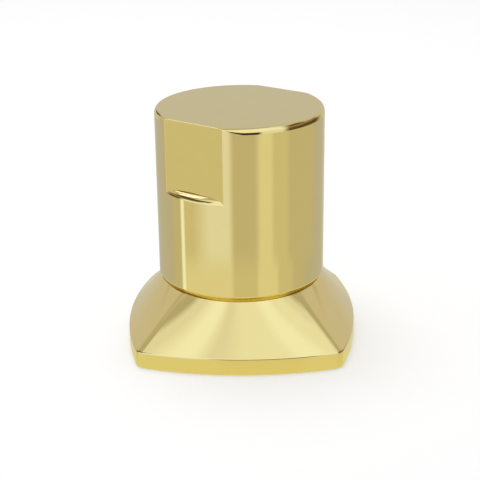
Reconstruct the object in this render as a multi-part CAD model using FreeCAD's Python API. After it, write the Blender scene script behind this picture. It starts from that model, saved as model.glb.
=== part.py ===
import FreeCAD, Part
import math
import os

from FreeCAD import Vector

# Replacement tap handle: a round knob with two flats that turns over a flared square escutcheon.
# Millimetres. The wall face is Z = 0, +Z runs out along the valve's spindle, and the escutcheon's
# sides face X and Y. Radii grow outwards from the valve: thread, sleeve, ring, knob, ledge, flank.

# Clamp sleeve, which screws on the valve's bonnet
valve_thread_radius = 12.06
sleeve_wall = 2.3
sleeve_depth = 11.4
sleeve_chamfer = 0.8
collar_step = 2.1
neck_height = 6.1

# Escutcheon
sleeve_hole_clearance = 0.2
ledge_width = 4.85
flank_run = 9.1
escutcheon_height = 16.4
escutcheon_wall = 2.2
rim_height = 4.5
side_arc_radius = 82.0
corner_radius = 3.5
hollow_side_radius = 52.0
ridge_spread_degrees = 7.0
rim_edge_chamfer = 0.4
ledge_edge_chamfer = 0.3

# Glide ring
ring_wall = 2.4
ring_flange_thickness = 1.8
ring_flange_width = 4.0
ring_seat_clearance = 0.05
ring_foot_setback = 0.6
running_clearance = 0.08

# Knob
knob_wall = 3.0
knob_height = 45.0
knob_gap = 0.8
knob_top_thickness = 3.2
flat_depth = 1.9
flat_height = 18.1
shoulder_radius = 1.7
top_edge_chamfer = 0.9
foot_edge_chamfer = 0.4
boss_wall = 3.4
knob_turn_degrees = -33.2

# Spindle adapter
spindle_radius = 4.0
spindle_clearance = 0.1
serration_count = 20
serration_depth = 0.45
lead_in_depth = 5.0
adapter_wall = 1.9
adapter_length = 18.0
adapter_flange_thickness = 1.5
adapter_flange_step = 1.5
adapter_foot_rise = 0.9
adapter_fit = 0.03
groove_depth = 0.8
groove_side_clearance = 0.2
socket_relief = 0.5

# Grub screw
screw_radius = 2.5
screw_length = 12.0
screw_fit = 0.03
screw_tip_clearance = 0.05
screw_chamfer = 0.5
hexagon_across = 2.5
hexagon_depth = 3.0
screw_web_wall = 1.7

# Radii worked out from the valve outwards
sleeve_radius = valve_thread_radius + sleeve_wall
collar_radius = sleeve_radius + collar_step
ring_radius = collar_radius + ring_seat_clearance + ring_wall
knob_bore_radius = ring_radius + running_clearance
knob_radius = knob_bore_radius + knob_wall
flat_distance = knob_radius - flat_depth
knob_cavity_radius = flat_distance - knob_wall
ledge_radius = collar_radius + ledge_width
escutcheon_half_width = ledge_radius + flank_run
lead_in_radius = spindle_radius + spindle_clearance
adapter_radius = lead_in_radius + adapter_wall
adapter_flange_radius = adapter_radius + adapter_flange_step
groove_radius = adapter_radius - groove_depth
socket_radius = adapter_radius + adapter_fit
boss_radius = socket_radius + boss_wall
screw_hole_radius = screw_radius + screw_fit
screw_web_half_width = screw_hole_radius + screw_web_wall

# Heights worked out from the wall face upwards
sleeve_foot_z = escutcheon_height - sleeve_depth
neck_top_z = escutcheon_height + neck_height
ring_top_z = neck_top_z + ring_flange_thickness
knob_foot_z = escutcheon_height + knob_gap
knob_top_z = knob_foot_z + knob_height
knob_ceiling_z = knob_top_z - knob_top_thickness
skirt_top_z = knob_top_z - flat_height
ring_foot_z = knob_foot_z + ring_foot_setback
adapter_foot_z = ring_top_z + adapter_foot_rise
boss_foot_z = adapter_foot_z + adapter_flange_thickness
socket_end_z = boss_foot_z + adapter_length + socket_relief
screw_z = boss_foot_z + screw_web_half_width

# Room that a cutting shape needs beyond the faces that it opens, and how near counts as on a surface
overcut = 1.0
tolerance = 1e-3

UP = Vector(0, 0, 1)
REAR = Vector(0, 1, 0)
AXIS = Vector(0, 0, 0)


def turned(points):
    """A solid of revolution about Z from its half section, given as (radius, height) corners."""
    corners = [Vector(radius, 0, height) for radius, height in points]
    section = Part.Face(Part.makePolygon(corners + corners[:1]))
    return section.revolve(AXIS, UP, 360)


def arc(start, middle, end):
    return Part.Arc(start, middle, end).toShape()


def quarter_turned(point, quarter):
    """A point moved round the Z axis by a number of quarter turns."""
    return FreeCAD.Rotation(UP, 90 * quarter).multVec(point)


def corner_centre():
    """How far along X and Y a corner arc's centre lies when the arc is tangent to two bulged sides."""
    centre_offset = side_arc_radius - escutcheon_half_width
    reach = side_arc_radius - corner_radius
    return (math.sqrt(2 * reach ** 2 - centre_offset ** 2) - centre_offset) / 2


def bulged_square(z):
    """The rim's outline at height z: a square whose sides bulge as arcs and whose corners are rounded."""
    half_angle = math.asin(corner_centre() / (side_arc_radius - corner_radius))
    side_x = side_arc_radius * math.sin(half_angle)
    side_y = side_arc_radius - escutcheon_half_width - side_arc_radius * math.cos(half_angle)
    corner_tip = corner_centre() + corner_radius * math.sqrt(0.5)
    side = [Vector(-side_x, side_y, z), Vector(0, -escutcheon_half_width, z), Vector(side_x, side_y, z)]
    corner = [side[2], Vector(corner_tip, -corner_tip, z), Vector(-side_y, -side_x, z)]
    edges = []
    for quarter in range(4):
        for points in (side, corner):
            edges.append(arc(*[quarter_turned(point, quarter) for point in points]))
    return Part.Wire(edges)


def divided_circle(radius, half_side, z):
    """A circle split like the bulged square: four side arcs, and a corner arc on each diagonal."""
    diagonal = math.radians(45)
    next_side = math.radians(90) - half_side

    def point(angle):
        return Vector(radius * math.sin(angle), -radius * math.cos(angle), z)

    edges = []
    for quarter in range(4):
        for angles in ((-half_side, 0, half_side), (half_side, diagonal, next_side)):
            edges.append(arc(*[quarter_turned(point(angle), quarter) for angle in angles]))
    return Part.Wire(edges)


def level_edges(shape, z):
    """The edges of a shape that lie wholly at height z."""
    found = []
    for edge in shape.Edges:
        box = edge.BoundBox
        if abs(box.ZMin - z) < tolerance and abs(box.ZMax - z) < tolerance:
            found.append(edge)
    return found


def escutcheon_outside():
    """A bulged square rim with straight flanks that rise to a circle, so the ridges fade upwards."""
    ridge_half_side = math.radians(45 - ridge_spread_degrees / 2)
    ledge = divided_circle(ledge_radius, ridge_half_side, escutcheon_height)
    form = Part.makeLoft([bulged_square(0), bulged_square(rim_height), ledge], True, True)
    form = form.makeChamfer(rim_edge_chamfer, level_edges(form, rim_height))
    return form.makeChamfer(ledge_edge_chamfer, level_edges(form, escutcheon_height))


def hollow_core(radius, run):
    """A round core, straight and then drawn in one wall behind a flank with the given run."""
    rise = escutcheon_height - rim_height
    shoulder_z = rim_height - escutcheon_wall * (math.hypot(run, rise) - rise) / run
    ceiling_z = escutcheon_height - escutcheon_wall
    ceiling_radius = radius - (ceiling_z - shoulder_z) * run / rise
    return turned([(0, 0), (radius, 0), (radius, shoulder_z), (ceiling_radius, ceiling_z), (0, ceiling_z)])


def escutcheon_hollow():
    """What a core behind the four ridges and a large core behind each side have in common."""
    corner_tip = corner_centre() * math.sqrt(2) + corner_radius
    hollow = hollow_core(corner_tip - escutcheon_wall, corner_tip - ledge_radius)
    side = hollow_core(hollow_side_radius, flank_run)
    side.translate(Vector(0, hollow_side_radius - escutcheon_half_width + escutcheon_wall, 0))
    for quarter in range(4):
        hollow = hollow.common(side.rotated(AXIS, UP, 90 * quarter))
    return hollow


def escutcheon():
    sleeve_hole = Part.makeCylinder(sleeve_radius + sleeve_hole_clearance, escutcheon_height + overcut)
    return escutcheon_outside().cut(escutcheon_hollow()).cut(sleeve_hole)


def clamp_sleeve():
    return turned([
        (valve_thread_radius + sleeve_chamfer, sleeve_foot_z),
        (sleeve_radius, sleeve_foot_z),
        (sleeve_radius, escutcheon_height),
        (collar_radius, escutcheon_height),
        (collar_radius, neck_top_z - sleeve_chamfer),
        (collar_radius - sleeve_chamfer, neck_top_z),
        (valve_thread_radius, neck_top_z),
        (valve_thread_radius, sleeve_foot_z + sleeve_chamfer),
    ])


def glide_ring():
    seat_radius = collar_radius + ring_seat_clearance
    flange_hole_radius = collar_radius - ring_flange_width
    return turned([
        (seat_radius, ring_foot_z),
        (ring_radius, ring_foot_z),
        (ring_radius, ring_top_z),
        (flange_hole_radius, ring_top_z),
        (flange_hole_radius, neck_top_z),
        (seat_radius, neck_top_z),
    ])


def knob_outside():
    """A round body with two flats, over a round skirt whose shoulders are rounded under the flats."""
    foot = Vector(0, 0, knob_foot_z)
    body = Part.makeCylinder(knob_radius, knob_height, foot)
    body = body.makeChamfer(top_edge_chamfer, level_edges(body, knob_top_z))
    rear_cut = Part.makeBox(2 * knob_radius, flat_depth + overcut, knob_height + 2 * overcut,
                            Vector(-knob_radius, flat_distance, knob_foot_z - overcut))
    front_cut = rear_cut.rotated(AXIS, UP, 180)
    skirt = Part.makeCylinder(knob_radius, skirt_top_z - knob_foot_z, foot)
    skirt = skirt.makeFillet(shoulder_radius, level_edges(skirt, skirt_top_z))
    body = body.cut(rear_cut).cut(front_cut).fuse(skirt).removeSplitter()
    return body.makeChamfer(foot_edge_chamfer, level_edges(body, knob_foot_z))


def knob_cavity():
    """The casting's hollow: a bore and a shoulder that run on the ring, and the space above them."""
    ring_bore = Part.makeCylinder(knob_bore_radius, ring_top_z - knob_foot_z, Vector(0, 0, knob_foot_z))
    space = Part.makeCylinder(knob_cavity_radius, knob_ceiling_z - ring_top_z, Vector(0, 0, ring_top_z))
    boss = Part.makeCylinder(boss_radius, knob_top_z - boss_foot_z, Vector(0, 0, boss_foot_z))
    screw_web = Part.makeBox(2 * screw_web_half_width, knob_radius, knob_top_z - boss_foot_z,
                             Vector(-screw_web_half_width, 0, boss_foot_z))
    return ring_bore.fuse(space.cut(boss).cut(screw_web))


def knob():
    body = knob_outside().cut(knob_cavity())
    socket = Part.makeCylinder(socket_radius, socket_end_z - boss_foot_z, Vector(0, 0, boss_foot_z))
    screw_hole = Part.makeCylinder(screw_hole_radius, knob_radius + overcut, Vector(0, 0, screw_z), REAR)
    return body.cut(socket).cut(screw_hole)


def serrations():
    """The star-shaped core of the adapter's bore, above its plain lead-in."""
    foot_z = adapter_foot_z + lead_in_depth
    points = []
    for index in range(2 * serration_count):
        angle = math.pi * index / serration_count
        radius = lead_in_radius - serration_depth * (index % 2)
        points.append(Vector(radius * math.cos(angle), radius * math.sin(angle), foot_z))
    star = Part.Face(Part.makePolygon(points + points[:1]))
    return star.extrude(UP * adapter_length)


def spindle_adapter():
    adapter_top_z = boss_foot_z + adapter_length
    groove_half = screw_radius + groove_side_clearance
    body = turned([
        (0, adapter_foot_z),
        (adapter_flange_radius, adapter_foot_z),
        (adapter_flange_radius, boss_foot_z),
        (adapter_radius, boss_foot_z),
        (adapter_radius, screw_z - groove_half),
        (groove_radius, screw_z - groove_half),
        (groove_radius, screw_z + groove_half),
        (adapter_radius, screw_z + groove_half),
        (adapter_radius, adapter_top_z),
        (0, adapter_top_z),
    ])
    lead_in = Part.makeCylinder(lead_in_radius, lead_in_depth, Vector(0, 0, adapter_foot_z))
    return body.cut(lead_in).cut(serrations())


def grub_screw():
    tip = groove_radius + screw_tip_clearance
    body = turned([
        (0, tip),
        (screw_radius - screw_chamfer, tip),
        (screw_radius, tip + screw_chamfer),
        (screw_radius, tip + screw_length - screw_chamfer),
        (screw_radius - screw_chamfer, tip + screw_length),
        (0, tip + screw_length),
    ])
    corner_distance = hexagon_across / math.sqrt(3)
    socket_floor = tip + screw_length - hexagon_depth
    corners = []
    for index in range(6):
        angle = math.radians(60 * index)
        across = corner_distance * math.cos(angle)
        along = corner_distance * math.sin(angle)
        corners.append(Vector(across, along, socket_floor))
    hexagon = Part.Face(Part.makePolygon(corners + corners[:1])).extrude(UP * (hexagon_depth + overcut))
    body = body.cut(hexagon)
    body.rotate(AXIS, Vector(1, 0, 0), -90)
    body.translate(Vector(0, 0, screw_z))
    return body


def write(name, shape, turn_degrees=0.0):
    shape.rotate(AXIS, UP, turn_degrees)
    state = "valid" if shape.isValid() else "not valid"
    print(name, state, len(shape.Solids), "solid", round(shape.Volume), "mm3")
    shape.exportStep("parts/" + name + ".step")


os.makedirs("parts", exist_ok=True)
write("escutcheon", escutcheon())
write("clamp_sleeve", clamp_sleeve())
write("glide_ring", glide_ring())
write("knob", knob(), knob_turn_degrees)
write("spindle_adapter", spindle_adapter(), knob_turn_degrees)
write("grub_screw", grub_screw(), knob_turn_degrees)
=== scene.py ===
# %% [markdown]
# # A gold plated tap handle
# A round knob with two gripping flats turns over a flared square wall cover. The solids come from CAD, in
# metres, with the wall face at Z = 0 and the front towards -Y. A mirror finish shows every facet and every
# sharp corner, so the pieces that the eye rests on are made again here as fine meshes with soft edges.

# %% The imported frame
import bmesh
import bpy
import math
from mathutils import Matrix, Vector


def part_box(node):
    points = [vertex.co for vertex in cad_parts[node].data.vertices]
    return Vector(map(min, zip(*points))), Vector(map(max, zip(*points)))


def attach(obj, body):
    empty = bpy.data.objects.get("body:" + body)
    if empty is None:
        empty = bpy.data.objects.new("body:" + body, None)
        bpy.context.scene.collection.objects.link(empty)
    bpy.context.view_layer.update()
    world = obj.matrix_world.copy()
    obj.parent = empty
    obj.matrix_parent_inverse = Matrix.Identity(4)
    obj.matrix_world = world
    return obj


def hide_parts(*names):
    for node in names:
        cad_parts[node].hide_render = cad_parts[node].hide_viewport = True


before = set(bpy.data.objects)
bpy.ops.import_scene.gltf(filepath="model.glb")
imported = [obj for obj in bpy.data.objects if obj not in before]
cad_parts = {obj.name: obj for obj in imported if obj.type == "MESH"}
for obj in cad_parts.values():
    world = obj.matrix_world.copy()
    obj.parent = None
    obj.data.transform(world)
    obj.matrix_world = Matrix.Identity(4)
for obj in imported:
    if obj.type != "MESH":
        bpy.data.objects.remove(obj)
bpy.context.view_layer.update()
print("CAD nodes:", ", ".join(sorted(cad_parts)))

# %% [markdown]
# ## Colours and nodes
# Colours are easiest to pick as the sRGB hex values that a paint program shows, but a shader works in
# linear light. One function turns one into the other. A second one adds a shader node, sets its options,
# and fills each input with a value or with a link, so that a material reads like a recipe.

# %% Colour and node helpers
def linear(hex_colour):
    channels = [int(hex_colour[start:start + 2], 16) / 255 for start in (1, 3, 5)]
    return [c / 12.92 if c <= 0.04045 else ((c + 0.055) / 1.055) ** 2.4 for c in channels] + [1.0]


def add_node(tree, kind, inputs, **options):
    made = tree.nodes.new("ShaderNode" + kind)
    for name, value in options.items():
        setattr(made, name, value)
    for name, value in inputs.items():
        if isinstance(value, bpy.types.NodeSocket):
            tree.links.new(value, made.inputs[name])
        else:
            made.inputs[name].default_value = value
    return made


def new_material(name):
    material = bpy.data.materials.new(name)
    material.use_nodes = True
    material.node_tree.nodes.clear()
    return material, material.node_tree


print("gold as linear light:", [round(c, 3) for c in linear("#F9E49E")[:3]])

# %% [markdown]
# ## Gold plating over buffed cast brass
# The knob and the cover are cast in brass, buffed on a wheel and plated. Gold plate is a metal mirror whose
# colour is its reflection. Buffing leaves a shallow waviness a few millimetres long, a haze that varies
# from place to place, and fine lines round the piece. Each one is a noise texture whose scale is the
# inverse of its real size.

# %% Gold plate material
mm = 0.001
buffing_wave_size = 9 * mm
buffing_wave_height = 0.0022 * mm
haze_patch_size = 5 * mm
# Real buffing lines are finer than 0.05 mm. They are drawn this coarse so that they show at all.
buffing_line_width = 0.25 * mm
buffing_line_height = 0.00004 * mm
# A line is fifty times as long as it is wide, so the level coordinates shrink to a fiftieth.
buffing_line_shrink = (0.02, 0.02, 1.0)

gold_plate, tree = new_material("gold_plate_on_buffed_brass")
place = add_node(tree, "TexCoord", {}).outputs["Object"]
wave = add_node(tree, "TexNoise", {"Vector": place, "Scale": 1 / buffing_wave_size, "Detail": 1.0})
haze = add_node(tree, "TexNoise", {"Vector": place, "Scale": 1 / haze_patch_size, "Detail": 4.0})
along_lines = add_node(tree, "Mapping", {"Vector": place, "Scale": buffing_line_shrink}).outputs[0]
lines = add_node(tree, "TexNoise", {"Vector": along_lines, "Scale": 1 / buffing_line_width, "Detail": 2.0})
tone = add_node(tree, "MixRGB", {"Fac": haze.outputs["Fac"], "Color1": linear("#F7E29B"),
                                 "Color2": linear("#FBE6A1")})
roughness = add_node(tree, "MapRange", {"Value": haze.outputs["Fac"], "From Min": 0.3, "From Max": 0.7,
                                        "To Min": 0.045, "To Max": 0.075})
waviness = add_node(tree, "Bump", {"Height": wave.outputs["Fac"], "Distance": buffing_wave_height})
buffed = add_node(tree, "Bump", {"Height": lines.outputs["Fac"], "Distance": buffing_line_height,
                                 "Normal": waviness.outputs["Normal"]})
shader = add_node(tree, "BsdfPrincipled", {"Base Color": tone.outputs["Color"], "Metallic": 1.0,
                                           "Roughness": roughness.outputs["Result"],
                                           "Normal": buffed.outputs["Normal"]})
add_node(tree, "OutputMaterial", {"Surface": shader.outputs["BSDF"]})
print(gold_plate.name, "has", len(tree.nodes), "nodes")

# %% [markdown]
# ## Gold plating over turned brass
# The sleeve is hidden but for a thin line in the gap under the knob, so it is plated as it comes from the
# lathe, with no buffing, which makes it duller. Its colour is darker and deeper than the plate, almost amber:
# that is painted shade and painted gold bounce light of the gap between the knob and the cover. A Wave texture
# of scale 1 repeats every 2 pi / 20 metres, so that length divided by the width of a ring is the scale.

# %% Unbuffed gold plate material
wave_unit = 2 * math.pi / 20
# The lathe's real feed, 0.15 mm a turn, is too fine to show, so one drawn ring stands for about six turns.
sleeve_ring_width = 0.9425 * mm
sleeve_ring_height = 0.001 * mm

gold_with_painted_gap_shade, tree = new_material("gold_plate_with_painted_gap_shade")
place = add_node(tree, "TexCoord", {}).outputs["Object"]
rings = add_node(tree, "TexWave", {"Vector": place, "Scale": wave_unit / sleeve_ring_width,
                                   "Distortion": 0.3, "Detail": 2.0}, bands_direction="Z")
haze = add_node(tree, "TexNoise", {"Vector": place, "Scale": 1 / haze_patch_size, "Detail": 4.0})
# A darker, amber gold than the plate: painted shade and gold bounce light of the gap under the knob.
tone = add_node(tree, "MixRGB", {"Fac": haze.outputs["Fac"], "Color1": linear("#E3C04A"),
                                 "Color2": linear("#ECCA57")})
roughness = add_node(tree, "MapRange", {"Value": haze.outputs["Fac"], "To Min": 0.2, "To Max": 0.34})
marks = add_node(tree, "Bump", {"Height": rings.outputs["Fac"], "Distance": sleeve_ring_height})
shader = add_node(tree, "BsdfPrincipled", {"Base Color": tone.outputs["Color"], "Metallic": 1.0,
                                           "Roughness": roughness.outputs["Result"],
                                           "Normal": marks.outputs["Normal"]})
add_node(tree, "OutputMaterial", {"Surface": shader.outputs["BSDF"]})
print(gold_with_painted_gap_shade.name, "has", len(tree.nodes), "nodes")

# %% [markdown]
# ## Bare turned brass
# The bush that grips the spindle is turned on a lathe and left bare. The tool leaves fine rings round
# its axis, and handling dulls it in patches, so it is browner and rougher than the plating.

# %% Turned brass material
# Here too one drawn ring stands for about six turns, at a feed of 0.12 mm.
bush_ring_width = 0.754 * mm
bush_ring_height = 0.0012 * mm
dull_patch_size = 3 * mm

turned_brass, tree = new_material("bare_brass_turned")
place = add_node(tree, "TexCoord", {}).outputs["Object"]
rings = add_node(tree, "TexWave", {"Vector": place, "Scale": wave_unit / bush_ring_width,
                                   "Distortion": 0.4, "Detail": 2.0}, bands_direction="Z")
dulling = add_node(tree, "TexNoise", {"Vector": place, "Scale": 1 / dull_patch_size, "Detail": 5.0})
tone = add_node(tree, "MixRGB", {"Fac": dulling.outputs["Fac"], "Color1": linear("#C9A052"),
                                 "Color2": linear("#E3C274")})
roughness = add_node(tree, "MapRange", {"Value": dulling.outputs["Fac"], "To Min": 0.42, "To Max": 0.22})
marks = add_node(tree, "Bump", {"Height": rings.outputs["Fac"], "Distance": bush_ring_height})
shader = add_node(tree, "BsdfPrincipled", {"Base Color": tone.outputs["Color"], "Metallic": 1.0,
                                           "Roughness": roughness.outputs["Result"],
                                           "Normal": marks.outputs["Normal"]})
add_node(tree, "OutputMaterial", {"Surface": shader.outputs["BSDF"]})
print(turned_brass.name, "has", len(tree.nodes), "nodes")

# %% [markdown]
# ## Moulded acetal
# The glide ring is natural acetal, a milky plastic that lets a little light in and has the satin skin of
# its mould. Subsurface scattering gives the milkiness, and a fine noise gives the skin's grain.

# %% Acetal material
skin_grain_size = 0.3 * mm
skin_grain_height = 0.002 * mm
cloud_size = 6 * mm
light_depth = 1 * mm

acetal, tree = new_material("natural_acetal_moulded")
place = add_node(tree, "TexCoord", {}).outputs["Object"]
skin_grain = add_node(tree, "TexNoise", {"Vector": place, "Scale": 1 / skin_grain_size, "Detail": 3.0})
cloud = add_node(tree, "TexNoise", {"Vector": place, "Scale": 1 / cloud_size, "Detail": 2.0})
tone = add_node(tree, "MixRGB", {"Fac": cloud.outputs["Fac"], "Color1": linear("#E6E3D8"),
                                 "Color2": linear("#F1EFE7")})
roughness = add_node(tree, "MapRange", {"Value": cloud.outputs["Fac"], "To Min": 0.36, "To Max": 0.5})
grain = add_node(tree, "Bump", {"Height": skin_grain.outputs["Fac"], "Distance": skin_grain_height})
shader = add_node(tree, "BsdfPrincipled", {"Base Color": tone.outputs["Color"], "IOR": 1.48,
                                           "Roughness": roughness.outputs["Result"],
                                           "Subsurface Weight": 0.15, "Subsurface Scale": light_depth,
                                           "Normal": grain.outputs["Normal"]})
add_node(tree, "OutputMaterial", {"Surface": shader.outputs["BSDF"]})
print(acetal.name, "has", len(tree.nodes), "nodes")

# %% [markdown]
# ## Rolled stainless steel
# The set screw is stainless steel. Rolling its thread leaves the steel grey and fairly smooth, and oil
# stains it in small patches that change its tone and its roughness together.

# %% Steel material
stain_size = 1.5 * mm

screw_steel, tree = new_material("stainless_steel_rolled")
place = add_node(tree, "TexCoord", {}).outputs["Object"]
stain = add_node(tree, "TexNoise", {"Vector": place, "Scale": 1 / stain_size, "Detail": 5.0})
tone = add_node(tree, "MixRGB", {"Fac": stain.outputs["Fac"], "Color1": linear("#8F8E8C"),
                                 "Color2": linear("#C4C3C1")})
roughness = add_node(tree, "MapRange", {"Value": stain.outputs["Fac"], "To Min": 0.22, "To Max": 0.42})
shader = add_node(tree, "BsdfPrincipled", {"Base Color": tone.outputs["Color"], "Metallic": 1.0,
                                           "Roughness": roughness.outputs["Result"]})
add_node(tree, "OutputMaterial", {"Surface": shader.outputs["BSDF"]})
print(screw_steel.name, "has", len(tree.nodes), "nodes")

# %% [markdown]
# ## Skins through columns of points
# Nearly every piece here goes once round an axis. If each column round it is a list of the same number of
# points, one helper can join neighbours into quads. Where a column's points fall together the quads
# close up to triangles, and welding removes what is left.

# %% Skin helper
weld_distance = 1e-6
collapsed_length = 1e-8


def weld(mesh):
    shape = bmesh.new()
    shape.from_mesh(mesh)
    bmesh.ops.remove_doubles(shape, verts=shape.verts, dist=weld_distance)
    bmesh.ops.dissolve_degenerate(shape, edges=shape.edges, dist=collapsed_length)
    bmesh.ops.recalc_face_normals(shape, faces=shape.faces)
    shape.to_mesh(mesh)
    shape.free()


def skin(name, columns, closed):
    count, height = len(columns), len(columns[0])
    faces = []
    for i in range(count):
        after = (i + 1) % count
        for k in range(height if closed else height - 1):
            upper = (k + 1) % height
            faces.append((i * height + k, after * height + k, after * height + upper, i * height + upper))
    mesh = bpy.data.meshes.new(name)
    mesh.from_pydata([point for column in columns for point in column], [], faces)
    piece = bpy.data.objects.new(name, mesh)
    bpy.context.collection.objects.link(piece)
    weld(mesh)
    return piece


print("points nearer than", weld_distance / mm, "mm are welded")

# %% [markdown]
# ## Finishing a piece
# A finished piece gets its material, smooth shading and a place in the frame: it hangs from an empty for the
# body it moves with, and the CAD node it stands for is hidden. Corners sharper than a given angle stay sharp,
# and weighted normals make each large face keep its own direction, so that reflections run straight.

# %% Finish helper
def finish_piece(piece, body, node, material, corner_degrees=32):
    mesh = piece.data
    mesh.materials.clear()
    mesh.materials.append(material)
    mesh.shade_smooth()
    mesh.set_sharp_from_angle(angle=math.radians(corner_degrees))
    weighted = piece.modifiers.new("weighted_normals", "WEIGHTED_NORMAL")
    weighted.keep_sharp = True
    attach(piece, body)
    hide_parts(node)
    print(piece.name, "has", len(mesh.polygons), "faces")


# %% [markdown]
# ## The knob's outline from above
# The knob was turned round and then given two flats, and buffing has eased the corner where a flat meets
# the round side. One quarter of the outline is enough: half a flat, a small arc tangent to the flat and to
# the circle, and the rest of the circle. Each column is an angle and the outline's reach at that angle.

# %% Knob outline
quarter_turn, full_turn = math.pi / 2, 2 * math.pi
knob_low, knob_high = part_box("knob")
knob_radius = knob_high.x
flat_depth = 1.9 * mm
crease_radius = 0.8 * mm
flat_distance = knob_radius - flat_depth
crease_y = flat_distance - crease_radius
crease_x = math.sqrt((knob_radius - crease_radius) ** 2 - crease_y ** 2)
crease_angle = math.atan2(crease_x, crease_y)


def spread(start, end, steps):
    return [start + (end - start) * step / steps for step in range(steps + 1)]


def facing(angle):
    return Vector((math.sin(angle), -math.cos(angle), 0))


crease_centre = Vector((crease_x, -crease_y, 0))
points = [Vector((x, -flat_distance, 0)) for x in spread(0, crease_x, steps=28)]
points += [crease_centre + crease_radius * facing(angle) for angle in spread(0, crease_angle, steps=6)[1:]]
points += [knob_radius * facing(angle) for angle in spread(crease_angle, quarter_turn, steps=56)[1:]]
quarter = [(math.atan2(point.x, -point.y), point.length) for point in points]
half = quarter + [(math.pi - angle, reach) for angle, reach in reversed(quarter[:-1])]
knob_outline = half + [(angle + math.pi, reach) for angle, reach in half[1:-1]]
print(len(knob_outline), "columns, with a crease at", round(math.degrees(crease_angle), 1), "degrees")

# %% [markdown]
# ## Straight runs and rounded edges
# A column of the knob follows a profile, a list of radii and heights that is put together from straight
# and rounded stretches. A mirror gives away every normal that leans where the metal is straight. So a
# straight run has a row of points close to each end, which keeps the bend inside the rounding.

# %% Profile helpers
hold = 0.1 * mm


def straight(radius, start_z, end_z, steps):
    return [(radius, z) for z in spread(start_z - hold, end_z + hold, steps)]


def rounded(radius, z, edge_radius, start, end, steps, stretch=1.0):
    return [(radius + edge_radius * math.cos(bend), z + stretch * edge_radius * math.sin(bend))
            for bend in spread(start, end, steps)]


def lift(z):
    return Vector((0, 0, z))


def upright(angle, profile):
    return [facing(angle) * radius + lift(z) for radius, z in profile]


print("rows of points are held", hold / mm, "mm from each rounding")

# %% [markdown]
# ## The knob's top edge and shoulder
# The top edge and the shoulder under each flat are rounded as on a lathe, and a flat cuts across them. So
# the flat's top edge is crisp, and the shoulder is a crescent that fades out at the flat's two ends. Buffing
# has drawn the top edge further down the side than across the top, though less beside a flat, and it has
# flattened the shoulder. A stretch in height gives both.

# %% Knob edges
top_edge_radius = 0.85 * mm
top_edge_stretch = 1.8
flat_edge_radius = 0.14 * mm
flat_edge_stretch = 0.5
stretch_grows_over = math.radians(13)
shoulder_radius = 2.8 * mm
shoulder_stretch = 0.66
flat_height = 18.1 * mm
skirt_top_z = knob_high.z - flat_height


def edge_stretch(angle):
    from_flat = abs((angle + quarter_turn) % math.pi - quarter_turn)
    grown = min(1.0, max(0.0, from_flat - crease_angle) / stretch_grows_over)
    return flat_edge_stretch + (top_edge_stretch - flat_edge_stretch) * grown


def where_cut(overhang, edge_radius):
    return math.acos(min(1.0, max(overhang, 0) / edge_radius))


top_ring, shoulder_ring = knob_radius - top_edge_radius, knob_radius - shoulder_radius
middle_cut = where_cut(flat_distance - shoulder_ring, shoulder_radius)
shoulder_ring_z = skirt_top_z - shoulder_stretch * shoulder_radius * math.sin(middle_cut)
print("a flat cuts the shoulder's rounding", round(math.degrees(middle_cut), 1), "degrees up")

# %% [markdown]
# ## The knob's skin
# Each column runs from the middle of the top, over the top edge, down the flat or the side, over the
# shoulder, down the skirt and round its foot. Then it goes up the bore that runs on the glide ring, over
# its seat, round the hollow and into the boss's socket. The whole knob is turned so that its rear flat
# stands over the set screw, as it does in CAD.

# %% Knob columns
foot_edge_radius = 0.7 * mm
bore_radius, hollow_radius = 18.99 * mm, 17.09 * mm
boss_radius, socket_radius = 9.43 * mm, 6.03 * mm
seat_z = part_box("glide_ring")[1].z
boss_foot_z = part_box("spindle_adapter")[0].z + 1.5 * mm
socket_end_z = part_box("spindle_adapter")[1].z + 0.5 * mm
top_thickness = 3.2 * mm
hollow_top_z = knob_high.z - top_thickness
screw_low, screw_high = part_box("grub_screw")
screw_centre = (screw_low + screw_high) / 2
knob_turn = Matrix.Rotation(math.atan2(-screw_centre.x, screw_centre.y), 4, "Z")


def knob_profile(reach, stretch):
    top_ring_z = knob_high.z - stretch * top_edge_radius
    edge = reach - flat_edge_radius
    top_end = where_cut(edge - top_ring, top_edge_radius - flat_edge_radius)
    edge_z = top_ring_z + stretch * (top_edge_radius - flat_edge_radius) * math.sin(top_end)
    shoulder_start = where_cut(reach - shoulder_ring, shoulder_radius)
    corner_z = shoulder_ring_z + shoulder_stretch * shoulder_radius * math.sin(shoulder_start)
    foot_ring_z = knob_low.z + foot_edge_radius
    profile = [(0, knob_high.z)]
    profile += rounded(min(top_ring, edge), top_ring_z, top_edge_radius, quarter_turn, top_end,
                       steps=12, stretch=stretch)
    profile += rounded(edge, edge_z, flat_edge_radius, top_end, 0, steps=5, stretch=stretch)
    profile += straight(reach, edge_z, corner_z, steps=8)
    profile += rounded(shoulder_ring, shoulder_ring_z, shoulder_radius, shoulder_start, 0,
                       steps=18, stretch=shoulder_stretch)
    profile += straight(knob_radius, shoulder_ring_z, foot_ring_z, steps=14)
    profile += rounded(knob_radius - foot_edge_radius, foot_ring_z, foot_edge_radius, 0, -quarter_turn, steps=8)
    profile += [(bore_radius, knob_low.z), (bore_radius, seat_z), (hollow_radius, seat_z),
                (hollow_radius, hollow_top_z), (boss_radius, hollow_top_z), (boss_radius, boss_foot_z),
                (socket_radius, boss_foot_z), (socket_radius, socket_end_z), (0, socket_end_z)]
    return profile


knob_columns = [upright(angle, knob_profile(reach, edge_stretch(angle))) for angle, reach in knob_outline]
knob = skin("knob_shell", [[knob_turn @ point for point in column] for column in knob_columns], closed=False)
print("knob columns hold", len(knob_columns[0]), "points each")

# %% [markdown]
# ## The drill for the set screw's hole
# A set screw at the rear holds the knob on its bush. Its hole is drilled through the finished casting, so a
# Boolean is the natural tool: a round bar the size of the drill, taken out of the skin. The bar lies along
# the screw's own axis.

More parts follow.
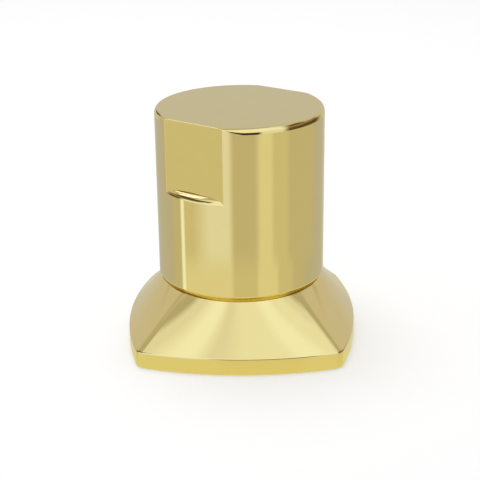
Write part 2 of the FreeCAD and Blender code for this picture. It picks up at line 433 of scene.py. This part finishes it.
# %% Drill
screw_axis = Vector((screw_centre.x, screw_centre.y, 0)).normalized()
screw_turn = screw_axis.to_track_quat("Z", "Y").to_matrix().to_4x4()
screw_place = Matrix.Translation((0, 0, screw_centre.z)) @ screw_turn
drill_radius = 2.53 * mm
drill_start, drill_end = 5 * mm, 25 * mm


def round_angles(steps):
    return spread(0, full_turn, steps)[:-1]


def along_screw(angle, stations):
    return [screw_place @ Vector((r * math.cos(angle), r * math.sin(angle), s)) for r, s in stations]


def drilled(piece, drill):
    cut = piece.modifiers.new("drilled", "BOOLEAN")
    cut.object = drill
    cut.operation = "DIFFERENCE"
    bpy.context.view_layer.update()
    cut_piece = piece.evaluated_get(bpy.context.evaluated_depsgraph_get())
    piece.data = bpy.data.meshes.new_from_object(cut_piece)
    piece.modifiers.clear()


drill_profile = [(0, drill_start), (drill_radius, drill_start), (drill_radius, drill_end), (0, drill_end)]
drill = skin("drill", [along_screw(angle, drill_profile) for angle in round_angles(steps=48)], closed=False)
print("drill of", round(2 * drill_radius / mm, 2), "mm at height", round(screw_centre.z / mm, 2), "mm")

# %% [markdown]
# ## The web behind the hole
# Inside the hollow a cast web joins the side to the boss and gives the screw's thread its length. It is a
# block that sinks a little into the side, the boss and the top. The web and the knob are drilled alike, and
# then joined to one piece.

# %% Web and drilled knob
web_half_width = 4.23 * mm
web_start, web_end = 8.2 * mm, 17.4 * mm
web_top_z = hollow_top_z + 0.5 * mm
web = bpy.data.objects.new("web", bpy.data.meshes.new("web"))
bpy.context.collection.objects.link(web)
web_corners = [(x, y, z) for x in (-web_half_width, web_half_width) for y in (web_start, web_end)
               for z in (boss_foot_z, web_top_z)]
web_faces = [(0, 1, 3, 2), (4, 6, 7, 5), (0, 4, 5, 1), (2, 3, 7, 6), (0, 2, 6, 4), (1, 5, 7, 3)]
web.data.from_pydata([knob_turn @ Vector(corner) for corner in web_corners], [], web_faces)
weld(web.data)
drilled(web, drill)
drilled(knob, drill)
bpy.data.objects.remove(drill)
bpy.ops.object.select_all(action="DESELECT")
web.select_set(True)
knob.select_set(True)
bpy.context.view_layer.objects.active = knob
bpy.ops.object.join()
weld(knob.data)
finish_piece(knob, "handle", "knob", gold_plate, corner_degrees=22)

# %% [markdown]
# ## The cover's outline
# The cover starts at the wall as a square whose sides bulge and whose corners are rounded, and ends in
# a round ledge under the knob. Straight lines join the two, so that four ridges start crisp at the
# corners and fade upwards. Each column needs its point on the square and its partner on the circle.

# %% Cover outline
cover_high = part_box("escutcheon")[1]
half_width = cover_high.x
side_arc_radius = 82 * mm
corner_radius = 3.5 * mm
ridge_half_spread = math.radians(3.5)
arc_offset = side_arc_radius - half_width
arc_reach = side_arc_radius - corner_radius
corner_centre = (math.sqrt(2 * arc_reach ** 2 - arc_offset ** 2) - arc_offset) / 2
corner_place = Vector((corner_centre, -corner_centre, 0))
side_half_angle = math.asin(corner_centre / arc_reach)
corner_sweep = quarter_turn - 2 * side_half_angle
side_end = math.pi / 4 - ridge_half_spread
side_centre = Vector((0, arc_offset, 0))
cover_quarter = [(side_centre + side_arc_radius * facing(side_half_angle * t), facing(side_end * t))
                 for t in spread(-1, 1, steps=64)]
cover_quarter += [(corner_place + corner_radius * facing(side_half_angle + t * corner_sweep),
                   facing(side_end + t * 2 * ridge_half_spread)) for t in spread(0, 1, steps=14)[1:-1]]
cover_outline = []
for turn in range(4):
    turned = Matrix.Rotation(turn * quarter_turn, 4, "Z")
    cover_outline += [(turned @ rim, turned @ ledge) for rim, ledge in cover_quarter]
print("cover outline has", len(cover_outline), "columns")

# %% [markdown]
# ## The cover's hollow
# The casting is hollow, one wall behind its outside. The hollow is bounded by a large round core behind
# each side and by one round core behind the ridges, whichever comes first. Above the rim every core
# narrows with the flank.

# %% Cover hollow
rim_height = 4.5 * mm
ledge_radius = 21.31 * mm
wall = 2.2 * mm
hollow_side_radius = 52 * mm
flank_rise = cover_high.z - rim_height
corner_tip = corner_centre * math.sqrt(2) + corner_radius


def core_radius(radius, run, z):
    shoulder = rim_height - wall * (math.hypot(run, flank_rise) - flank_rise) / run
    return radius - max(z - shoulder, 0) * run / flank_rise


def hollow_point(direction, z):
    reach = core_radius(corner_tip - wall, corner_tip - ledge_radius, z)
    side_radius = core_radius(hollow_side_radius, half_width - ledge_radius, z)
    offset = hollow_side_radius - half_width + wall
    for across in (abs(direction.x), abs(direction.y)):
        reach = min(reach, math.sqrt(side_radius ** 2 - offset ** 2 * (1 - across ** 2)) - offset * across)
    return direction * reach + lift(z)


print("hollow reaches", round(hollow_point(facing(0), 0).length / mm, 1), "mm at the middle of a side")

# %% [markdown]
# ## The cover's skin
# Each column starts at the rounded foot and runs up the rim, over its eased edge, up the straight flank,
# over the eased ledge, down the hole for the sleeve and back through the hollow. The eases are worked out
# from the flank's lean, because it is steeper in the middle of a side than at a ridge.

# %% Cover columns
sleeve_hole_radius = 14.56 * mm
rim_edge_radius = 0.6 * mm
ledge_edge_radius = 0.45 * mm
foot_ease = 0.45 * mm
ceiling_z = cover_high.z - wall
hollow_shoulder_z = rim_height - wall / 2


def cover_column(rim, ledge):
    run = (ledge * ledge_radius - rim).length
    inward = (ledge * ledge_radius - rim) / run
    lean = math.atan2(run, flank_rise)
    column = [rim + inward * foot_ease * (1 - math.cos(bend)) + lift(foot_ease * (1 + math.sin(bend)))
              for bend in spread(-quarter_turn, 0, steps=5)]
    edge_z = rim_height - rim_edge_radius * math.tan(lean / 2)
    column += [rim + lift(z) for z in (foot_ease + hold, edge_z - hold)]
    column += [rim + inward * rim_edge_radius * (1 - math.cos(bend))
               + lift(edge_z + rim_edge_radius * math.sin(bend)) for bend in spread(0, lean, steps=10)]
    ease = ledge_edge_radius * math.tan((quarter_turn - lean) / 2)
    start = column[-1]
    end = rim + inward * (run - ease * math.sin(lean)) + lift(cover_high.z - ease * math.cos(lean))
    near = hold / (end - start).length
    column += [start.lerp(end, t) for t in spread(near, 1 - near, steps=16)]
    column += [rim + inward * (run + ease - ledge_edge_radius * math.cos(bend))
               + lift(cover_high.z - ledge_edge_radius * (1 - math.sin(bend)))
               for bend in spread(lean, quarter_turn, steps=6)]
    column += [ledge * sleeve_hole_radius + lift(z) for z in (cover_high.z, ceiling_z)]
    column += [hollow_point(ledge.lerp(rim.normalized(), t).normalized(), z)
               for t, z in zip(spread(0, 1, steps=10), spread(ceiling_z, hollow_shoulder_z, steps=10))]
    column.append(hollow_point(rim.normalized(), 0))
    return column


cover = skin("cover_shell", [cover_column(rim, ledge) for rim, ledge in cover_outline], closed=True)
finish_piece(cover, "cover", "escutcheon", gold_plate, corner_degrees=38)

# %% [markdown]
# ## The sleeve
# The sleeve screws on the valve, so its bore has a pipe thread. A thread is a groove whose depth depends
# on height and angle together: one turn lowers it by one pitch. The CAD bore is at the thread's crests, so
# the groove goes outwards from it and fades at both ends, where the tap runs out. Outside, a thin flange
# lies on the cover's ledge, in the gap under the knob, where it shows as an amber line.

# %% Threaded sleeve
sleeve_low, sleeve_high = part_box("clamp_sleeve")
sleeve_radius, collar_radius = 14.36 * mm, sleeve_high.x
sleeve_chamfer = 0.8 * mm
foot_chamfer = 0.2 * mm
bore_chamfer = 0.3 * mm
flange_radius, flange_height = 20.9 * mm, 0.5 * mm
thread_crest_radius = 12.06 * mm
pipe_pitch = 1.814 * mm
pipe_depth = 1.1 * mm
bore_low, bore_high = sleeve_low.z + sleeve_chamfer, sleeve_high.z - bore_chamfer
flange_top_z = cover_high.z + flange_height


def groove(z, angle, pitch, low, high):
    fade = min(1.0, max(0.0, (z - low) / pitch), max(0.0, (high - z) / pitch))
    return fade * (0.5 - 0.5 * math.cos(full_turn * (z / pitch - angle / full_turn)))


def sleeve_profile(angle):
    profile = [(thread_crest_radius + sleeve_chamfer, sleeve_low.z), (sleeve_radius - foot_chamfer, sleeve_low.z),
               (sleeve_radius, sleeve_low.z + foot_chamfer), (sleeve_radius, cover_high.z),
               (flange_radius, cover_high.z), (flange_radius, flange_top_z), (collar_radius, flange_top_z),
               (collar_radius, sleeve_high.z - sleeve_chamfer), (collar_radius - sleeve_chamfer, sleeve_high.z),
               (thread_crest_radius + bore_chamfer, sleeve_high.z)]
    profile += [(thread_crest_radius + pipe_depth * groove(z, angle, pipe_pitch, bore_low, bore_high), z)
                for z in spread(bore_high, bore_low, steps=90)]
    return profile


sleeve = skin("threaded_sleeve", [upright(a, sleeve_profile(a)) for a in round_angles(steps=128)], closed=True)
finish_piece(sleeve, "cover", "clamp_sleeve", gold_with_painted_gap_shade)

# %% [markdown]
# ## The set screw
# A short threaded bar with a six-sided socket in its outer end. Its thread is made as the sleeve's is, but
# goes inwards. At the socket the columns follow a hexagon: the distance to a flat side, divided by a cosine.

# %% Set screw
screw_radius = 2.5 * mm
screw_half_length = 6 * mm
screw_pitch = 0.8 * mm
screw_depth = 0.42 * mm
tip_taper = 0.6 * mm
end_taper, end_inset = 0.4 * mm, 0.45 * mm
hexagon_reach = 1.25 * mm
hexagon_ease = 0.1 * mm
hexagon_depth, hexagon_point_depth = 3 * mm, 3.5 * mm
hexagon_side = full_turn / 6
screw_middle = Vector((screw_centre.x, screw_centre.y, 0)).length
screw_tip, screw_end = screw_middle - screw_half_length, screw_middle + screw_half_length


def screw_stations(angle):
    from_side = (angle + hexagon_side / 2) % hexagon_side - hexagon_side / 2
    hexagon = hexagon_reach / math.cos(from_side)
    stations = [(0, screw_tip), (screw_radius - tip_taper, screw_tip)]
    stations += [(screw_radius - screw_depth * groove(s, angle, screw_pitch, screw_tip, screw_end), s)
                 for s in spread(screw_tip + tip_taper, screw_end - end_taper, steps=112)]
    stations += [(screw_radius - end_inset, screw_end), (hexagon + hexagon_ease, screw_end),
                 (hexagon, screw_end - hexagon_ease), (hexagon, screw_end - hexagon_depth),
                 (0, screw_end - hexagon_point_depth)]
    return stations


screw = skin("set_screw", [along_screw(a, screw_stations(a)) for a in round_angles(steps=96)], closed=False)
finish_piece(screw, "handle", "grub_screw", screw_steel)

# %% [markdown]
# ## The pieces that stay as they are
# The glide ring and the spindle bush are plain turned shapes inside the knob, and the CAD meshes are
# already right. They only get their finish.

# %% Ring and bush
for node, material in (("glide_ring", acetal), ("spindle_adapter", turned_brass)):
    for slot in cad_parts[node].material_slots:
        slot.material = material
    print(node, "is now", material.name)

# %% [markdown]
# ## The floor
# A plain white floor carries the object's shadow. It adds a little of its own white for the camera, so that
# it reads as white paper while the shadow stays. The Light Path node tells which rays look at the
# background: those of the camera, and those that come by way of metal or glass. Mirrors don't see this
# floor, though, because the tent further down has a floor tone of its own for them: a painted reflection of
# the floor, darker and more yellow, that stands in for its shade and the gold light it gets near the cover.

# %% White paper floor
floor_glow = 0.285
floor_radius = 3.0
floor_z = -0.02 * mm


def background_ray(tree):
    ray = add_node(tree, "LightPath", {})
    seen = ray.outputs["Is Camera Ray"]
    for kind in ("Is Glossy Ray", "Is Transmission Ray"):
        seen = add_node(tree, "Math", {0: seen, 1: ray.outputs[kind]}, operation="MAXIMUM").outputs[0]
    return seen


paper, tree = new_material("white_paper")
glow = add_node(tree, "Math", {0: background_ray(tree), 1: floor_glow}, operation="MULTIPLY")
lit = add_node(tree, "BsdfDiffuse", {"Color": linear("#F4F4F4")})
own = add_node(tree, "Emission", {"Color": linear("#FFFFFF"), "Strength": glow.outputs[0]})
paper_surface = add_node(tree, "AddShader", {0: lit.outputs[0], 1: own.outputs[0]})
add_node(tree, "OutputMaterial", {"Surface": paper_surface.outputs[0]})

floor_disc = [(0, floor_z), (floor_radius, floor_z)]
floor = skin("floor", [upright(angle, floor_disc) for angle in round_angles(steps=96)], closed=False)
floor.data.materials.append(paper)
floor.visible_glossy = False
print("floor of", 2 * floor_radius, "m made")

# %% [markdown]
# ## World and softbox
# The room around is white. As light it is held down, so that most of the light comes from one large soft
# lamp overhead, which gives the faint shadow. Mirrors don't see the lamp itself.

# %% World and softbox
scene = bpy.context.scene
scene.view_settings.view_transform = "Standard"
room_light, room_white = 0.42, 1.0

world = bpy.data.worlds.new("white_room")
scene.world = world
world.use_nodes = True
tree = world.node_tree
tree.nodes.clear()
level = add_node(tree, "MapRange", {"Value": background_ray(tree), "To Min": room_light, "To Max": room_white})
sky = add_node(tree, "Background", {"Color": linear("#FFFFFF"), "Strength": level.outputs["Result"]})
add_node(tree, "OutputWorld", {"Surface": sky.outputs[0]})

softbox = bpy.data.lights.new("overhead_softbox", "AREA")
softbox.shape = "DISK"
softbox.size = 0.9
softbox.energy = 4.8
softbox_place = bpy.data.objects.new("overhead_softbox", softbox)
bpy.context.collection.objects.link(softbox_place)
softbox_place.location = (-0.1, 0.2, 1.0)
softbox_place.rotation_euler = (-softbox_place.location).to_track_quat("-Z", "Y").to_euler()
softbox_place.visible_glossy = False
print("softbox of", round(softbox.size, 2), "m hangs at", [round(c, 2) for c in softbox_place.location])

# %% [markdown]
# ## The light tent
# A mirror has no tone of its own: what it shows is the room. The handle stands in a tent of glowing panels,
# some bright, some grey, some dark, with a dark gap in front for the camera. The tent is a sphere that only
# mirrors see, so it lights nothing: its panels are painted reflections, tones set to draw the gold's bright and
# dark bands. Its tone depends on the direction, so the shader first turns a place on the sphere into a
# compass angle and a climb.

# %% Painted reflection tones
# Glowing tones, not lit paper: painted reflections, from bright white down to the dark gap where the camera
# stands.
reflection_tones = {
    "bright": "#E5EFFA",
    "silk": "#DDE4E8",
    "white": "#D3D8DC",
    "cream": "#CECFBD",
    "straw": "#BFBEA9",
    "linen": "#BCBAB8",
    "pearl": "#B7B8BA",
    "drab": "#B5B3A5",
    "grey": "#AEAFB1",
    "dusk": "#A9A89E",
    "bronze": "#87795F",
    "brown": "#54452F",
    "gap": "#302814",
    # floor: a painted reflection of the floor, darker and more yellow than the white floor, for its shade and
    # gold bounce light near the cover.
    "floor": "#D1CEA0",
}
tent_material, tree = new_material("painted_reflection_tent")
place = add_node(tree, "TexCoord", {}).outputs["Object"]
way = add_node(tree, "VectorMath", {0: place}, operation="NORMALIZE")
axes = add_node(tree, "SeparateXYZ", {0: way.outputs[0]})
to_front = add_node(tree, "Math", {0: axes.outputs["Y"], 1: -1.0}, operation="MULTIPLY")
compass = add_node(tree, "Math", {0: axes.outputs["X"], 1: to_front.outputs[0]}, operation="ARCTAN2")
turn = add_node(tree, "MapRange", {"Value": compass.outputs[0], "From Min": -math.pi, "From Max": math.pi})
climb = add_node(tree, "Math", {0: axes.outputs["Z"]}, operation="ARCSINE")
print("tent papers:", ", ".join(reflection_tones))

# %% [markdown]
# ## The tent's panels
# A colour ramp gives the tone by compass angle, one ramp for each of six bands of height. Each panel is a
# stretch of angle, in degrees from the front towards the right, and the ramp blends from one to the next.
# From the front the two low bands show in the knob's upright sides, the horizon and middle ones in its
# rounded edges and flat top, and the two high ones in the shoulder and the cover's flanks.

# %% Tent panels
def panels(stretches):
    stops = [(edge, name) for start, end, name in stretches for edge in (start, end)]
    ramp = add_node(tree, "ValToRGB", {"Fac": turn.outputs["Result"]})
    elements = ramp.color_ramp.elements
    while len(elements) < len(stops):
        elements.new(0.5)
    for element, (degrees, name) in zip(elements, stops):
        element.position = (degrees + 180) / 360
        element.color = linear(reflection_tones[name])
    return ramp.outputs["Color"]


skirt_band = panels([(-180, -166, "straw"), (-157, -106, "grey"), (-100, -88, "drab"), (-86.5, -82, "bright"),
                     (-80.5, -12, "cream"), (-7, 22, "straw"), (27, 51, "cream"), (56, 74, "straw"),
                     (80, 94, "drab"), (106, 152, "grey"), (162, 180, "straw")])
low_band = panels([(-180, -164, "straw"), (-152, -106, "grey"), (-100, -88, "drab"), (-86.5, -82, "bright"),
                   (-80.5, -66, "straw"), (-42, -14, "white"), (-7, 21, "drab"), (29, 43, "cream"),
                   (48, 67, "straw"), (72, 112, "drab"), (128, 150, "grey"), (162, 180, "straw")])
horizon_band = panels([(-180, -138, "linen"), (-128, -114, "grey"), (-104, -88, "brown"),
                       (-78, -17, "bright"), (-8, 26, "gap"), (32, 60, "white"), (70, 122, "brown"),
                       (140, 180, "linen")])
middle_band = panels([(-180, -160, "pearl"), (-152, -144, "brown"), (-138, -129, "linen"),
                      (-122, -112, "dusk"), (-107, -57, "bronze"), (-46, 62, "silk"), (70, 122, "bronze"),
                      (130, 150, "linen"), (158, 180, "pearl")])
upper_band = panels([(-180, -135, "pearl"), (-127, -116, "linen"), (-112, -106, "dusk"), (-100, -43, "brown"),
                     (-39, 62, "bright"), (78, 101, "brown"), (106, 114, "dusk"), (119, 130, "linen"),
                     (138, 180, "pearl")])
high_band = panels([(-180, -114, "linen"), (-97, -85, "dusk"), (-74, -62, "white"), (-40, -28, "bright"),
                    (-17, -12, "white"), (0, 22, "silk"), (33, 46, "bright"), (56, 72, "silk"),
                    (84, 90, "white"), (103, 116, "dusk"), (126, 180, "linen")])
print("six bands of panels made")

# %% [markdown]
# ## Putting the tent up
# A soft step by climb mixes one band into the next, from a plain floor tone below to a plain dusk overhead.
# Each step is given by the climb, in degrees, where it starts and where it ends.

# %% Paper tent
tent_strength = 1.2
tent_radius = 1.5
steps_up = [(-27, -24, skirt_band), (-21.6, -20.4, low_band), (-13.2, -11.4, horizon_band),
            (6, 10, middle_band), (21, 27, upper_band), (43, 47, high_band),
            (65, 70, linear(reflection_tones["dusk"]))]
# Below the lowest step, mirrors see the painted floor reflection.
tones = linear(reflection_tones["floor"])
for start_degrees, end_degrees, next_band in steps_up:
    step = add_node(tree, "MapRange", {"Value": climb.outputs[0], "From Min": math.radians(start_degrees),
                                       "From Max": math.radians(end_degrees)}, interpolation_type="SMOOTHSTEP")
    mixed = add_node(tree, "MixRGB", {"Fac": step.outputs["Result"], "Color1": tones, "Color2": next_band})
    tones = mixed.outputs["Color"]
# The tent only glows for mirrors: its tones are painted reflections, not a lamp.
tent_glow = add_node(tree, "Emission", {"Color": tones, "Strength": tent_strength})
add_node(tree, "OutputMaterial", {"Surface": tent_glow.outputs[0]})

half_circle = rounded(0, 0, tent_radius, -quarter_turn, quarter_turn, steps=32)
tent = skin("painted_reflection_tent", [upright(angle, half_circle) for angle in round_angles(steps=64)], closed=False)
tent.data.materials.append(tent_material)
tent.visible_camera = False
tent.visible_diffuse = False
tent.visible_transmission = False
tent.visible_volume_scatter = False
tent.visible_shadow = False
print("tent made,", len(tree.nodes), "nodes")

# %% [markdown]
# ## The small lamp
# The shoulder under the flat shows a white streak: a small lamp at the upper left, inside the tent, with an
# upright oval face. It is near the handle, so the knob and the lower cover see it in different directions.

# %% Small lamp
lamp_azimuth, lamp_climb, lamp_distance = math.radians(-111), math.radians(52), 140 * mm
lamp_way = facing(lamp_azimuth) * math.cos(lamp_climb) + lift(math.sin(lamp_climb))
shoulder_place = Vector((-12 * mm, -17 * mm, skirt_top_z))
small_lamp = bpy.data.lights.new("small_lamp", "AREA")
small_lamp.shape = "ELLIPSE"
small_lamp.size = 33 * mm
small_lamp.size_y = 70 * mm
small_lamp.color = linear("#BEC6FF")[:3]
small_lamp.energy = 0.0102
lamp_place = bpy.data.objects.new("small_lamp", small_lamp)
bpy.context.collection.objects.link(lamp_place)
lamp_place.location = shoulder_place + lamp_way * lamp_distance
lamp_place.rotation_euler = lamp_way.to_track_quat("Z", "Y").to_euler()
print("small lamp at", [round(c, 3) for c in lamp_place.location])

# %% [markdown]
# ## The camera
# The photograph was taken from a little right of the front and 21 degrees above, with a long lens, and
# leans by under a degree. The angle, distance and lens come from fitting the knob's and the rim's edges.

# %% Camera
camera = bpy.data.cameras.new("camera")
camera.lens = 94.2
camera.sensor_width = 36
camera_place = bpy.data.objects.new("camera", camera)
bpy.context.collection.objects.link(camera_place)
target = Vector((-0.29 * mm, 0, 25 * mm))
camera_distance = 336.7 * mm
azimuth, elevation, roll = math.radians(1.97), math.radians(21.25), math.radians(-0.74)
away = facing(azimuth) * math.cos(elevation) + lift(math.sin(elevation))
camera_place.location = target + away * camera_distance
aim = away.to_track_quat("Z", "Y") @ Matrix.Rotation(roll, 3, "Z").to_quaternion()
camera_place.rotation_euler = aim.to_euler()
scene.camera = camera_place
print("camera at", [round(c, 4) for c in camera_place.location])
